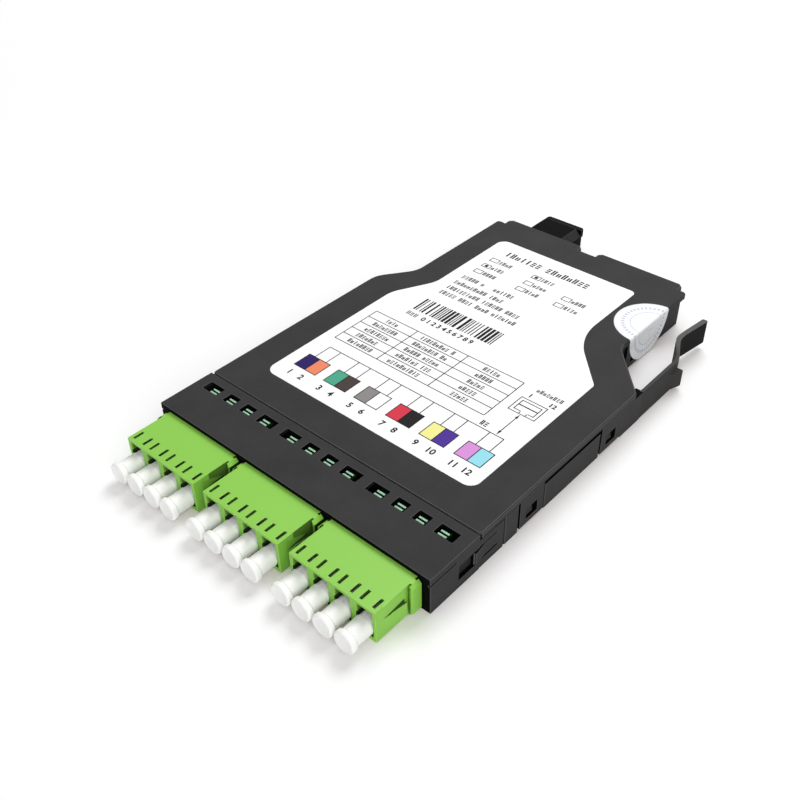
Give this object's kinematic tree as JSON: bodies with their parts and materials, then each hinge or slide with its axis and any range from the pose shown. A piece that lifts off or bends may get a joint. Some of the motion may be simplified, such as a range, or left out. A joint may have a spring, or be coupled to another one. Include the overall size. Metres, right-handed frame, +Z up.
{
  "type": "fibre patch cassette",
  "caption": "Flat black fibre patch cassette: green front adapters closed by white dust plugs, a capped wide port behind, a labelled cover and a sprung release lever at one side.",
  "frame": {"origin": "on the underside, on the middle line of the wide part, half-way along the housing", "axes": "+X across to the lever's side, +Y from the front ports to the rear port, +Z up through the label"},
  "size_m": [0.0908, 0.165, 0.0107],
  "materials": {
    "housing": "fine texture",
    "rear_port": "satin",
    "adapter_green": "satin",
    "connector_green": "satin",
    "plug_white": "satin",
    "label_paper": "printed",
    "seal_paper": "printed",
    "ceramic": "polished",
    "ferrule_resin": "smooth",
    "steel": "polished",
    "boot": "matt",
    "lead_blue": "smooth",
    "lead_orange": "smooth",
    "lead_green": "smooth",
    "lead_brown": "smooth",
    "lead_grey": "smooth",
    "lead_white": "smooth",
    "lead_red": "smooth",
    "lead_black": "smooth",
    "lead_yellow": "smooth",
    "lead_violet": "smooth",
    "lead_pink": "smooth",
    "lead_aqua": "smooth"
  },
  "bodies": {
    "housing": {"base_tray": "housing", "top_cover": "housing", "mpo_adapter": "rear_port", "label": "label_paper", "seal_sticker": "seal_paper", "lc_adapter_left": "adapter_green", "lc_adapter_centre": "adapter_green", "lc_adapter_right": "adapter_green", "lc_connector_01": "connector_green", "lc_connector_02": "connector_green", "lc_connector_03": "connector_green", "lc_connector_04": "connector_green", "lc_connector_05": "connector_green", "lc_connector_06": "connector_green", "lc_connector_07": "connector_green", "lc_connector_08": "connector_green", "lc_connector_09": "connector_green", "lc_connector_10": "connector_green", "lc_connector_11": "connector_green", "lc_connector_12": "connector_green", "lc_ferrules": "ceramic", "lc_boots": "boot", "alignment_sleeves": "ceramic", "fibre_lead_01": "lead_blue", "fibre_lead_02": "lead_orange", "fibre_lead_03": "lead_green", "fibre_lead_04": "lead_brown", "fibre_lead_05": "lead_grey", "fibre_lead_06": "lead_white", "fibre_lead_07": "lead_red", "fibre_lead_08": "lead_black", "fibre_lead_09": "lead_yellow", "fibre_lead_10": "lead_violet", "fibre_lead_11": "lead_pink", "fibre_lead_12": "lead_aqua", "fan_out_block": "rear_port", "trunk_tube": "boot", "mpo_connector": "rear_port", "mpo_ferrule": "ferrule_resin", "guide_pins": "steel"},
    "lever": {"release_lever": "housing"},
    "rear_cap": {"mpo_dust_cap": "rear_port"},
    "plug_01": {"dust_plug_01": "plug_white"},
    "plug_02": {"dust_plug_02": "plug_white"},
    "plug_03": {"dust_plug_03": "plug_white"},
    "plug_04": {"dust_plug_04": "plug_white"},
    "plug_05": {"dust_plug_05": "plug_white"},
    "plug_06": {"dust_plug_06": "plug_white"},
    "plug_07": {"dust_plug_07": "plug_white"},
    "plug_08": {"dust_plug_08": "plug_white"},
    "plug_09": {"dust_plug_09": "plug_white"},
    "plug_10": {"dust_plug_10": "plug_white"},
    "plug_11": {"dust_plug_11": "plug_white"},
    "plug_12": {"dust_plug_12": "plug_white"}
  },
  "joints": [
    {"name": "lever_flex", "type": "hinge", "parent": "housing", "child": "lever", "pos_m": [0.04395, 0.01745, 0.005], "axis": [0, 0, 1], "range_deg": [0, 6], "stiffness_Nm_per_rad": 0.2},
    {"name": "rear_cap_pull", "type": "slide", "parent": "housing", "child": "rear_cap", "axis": [0, 1, 0], "range_m": [0, 0.014]},
    {"name": "plug_01_pull", "type": "slide", "parent": "housing", "child": "plug_01", "axis": [0, -1, 0], "range_m": [0, 0.012]},
    {"name": "plug_02_pull", "type": "slide", "parent": "housing", "child": "plug_02", "axis": [0, -1, 0], "range_m": [0, 0.012]},
    {"name": "plug_03_pull", "type": "slide", "parent": "housing", "child": "plug_03", "axis": [0, -1, 0], "range_m": [0, 0.012]},
    {"name": "plug_04_pull", "type": "slide", "parent": "housing", "child": "plug_04", "axis": [0, -1, 0], "range_m": [0, 0.012]},
    {"name": "plug_05_pull", "type": "slide", "parent": "housing", "child": "plug_05", "axis": [0, -1, 0], "range_m": [0, 0.012]},
    {"name": "plug_06_pull", "type": "slide", "parent": "housing", "child": "plug_06", "axis": [0, -1, 0], "range_m": [0, 0.012]},
    {"name": "plug_07_pull", "type": "slide", "parent": "housing", "child": "plug_07", "axis": [0, -1, 0], "range_m": [0, 0.012]},
    {"name": "plug_08_pull", "type": "slide", "parent": "housing", "child": "plug_08", "axis": [0, -1, 0], "range_m": [0, 0.012]},
    {"name": "plug_09_pull", "type": "slide", "parent": "housing", "child": "plug_09", "axis": [0, -1, 0], "range_m": [0, 0.012]},
    {"name": "plug_10_pull", "type": "slide", "parent": "housing", "child": "plug_10", "axis": [0, -1, 0], "range_m": [0, 0.012]},
    {"name": "plug_11_pull", "type": "slide", "parent": "housing", "child": "plug_11", "axis": [0, -1, 0], "range_m": [0, 0.012]},
    {"name": "plug_12_pull", "type": "slide", "parent": "housing", "child": "plug_12", "axis": [0, -1, 0], "range_m": [0, 0.012]}
  ]
}
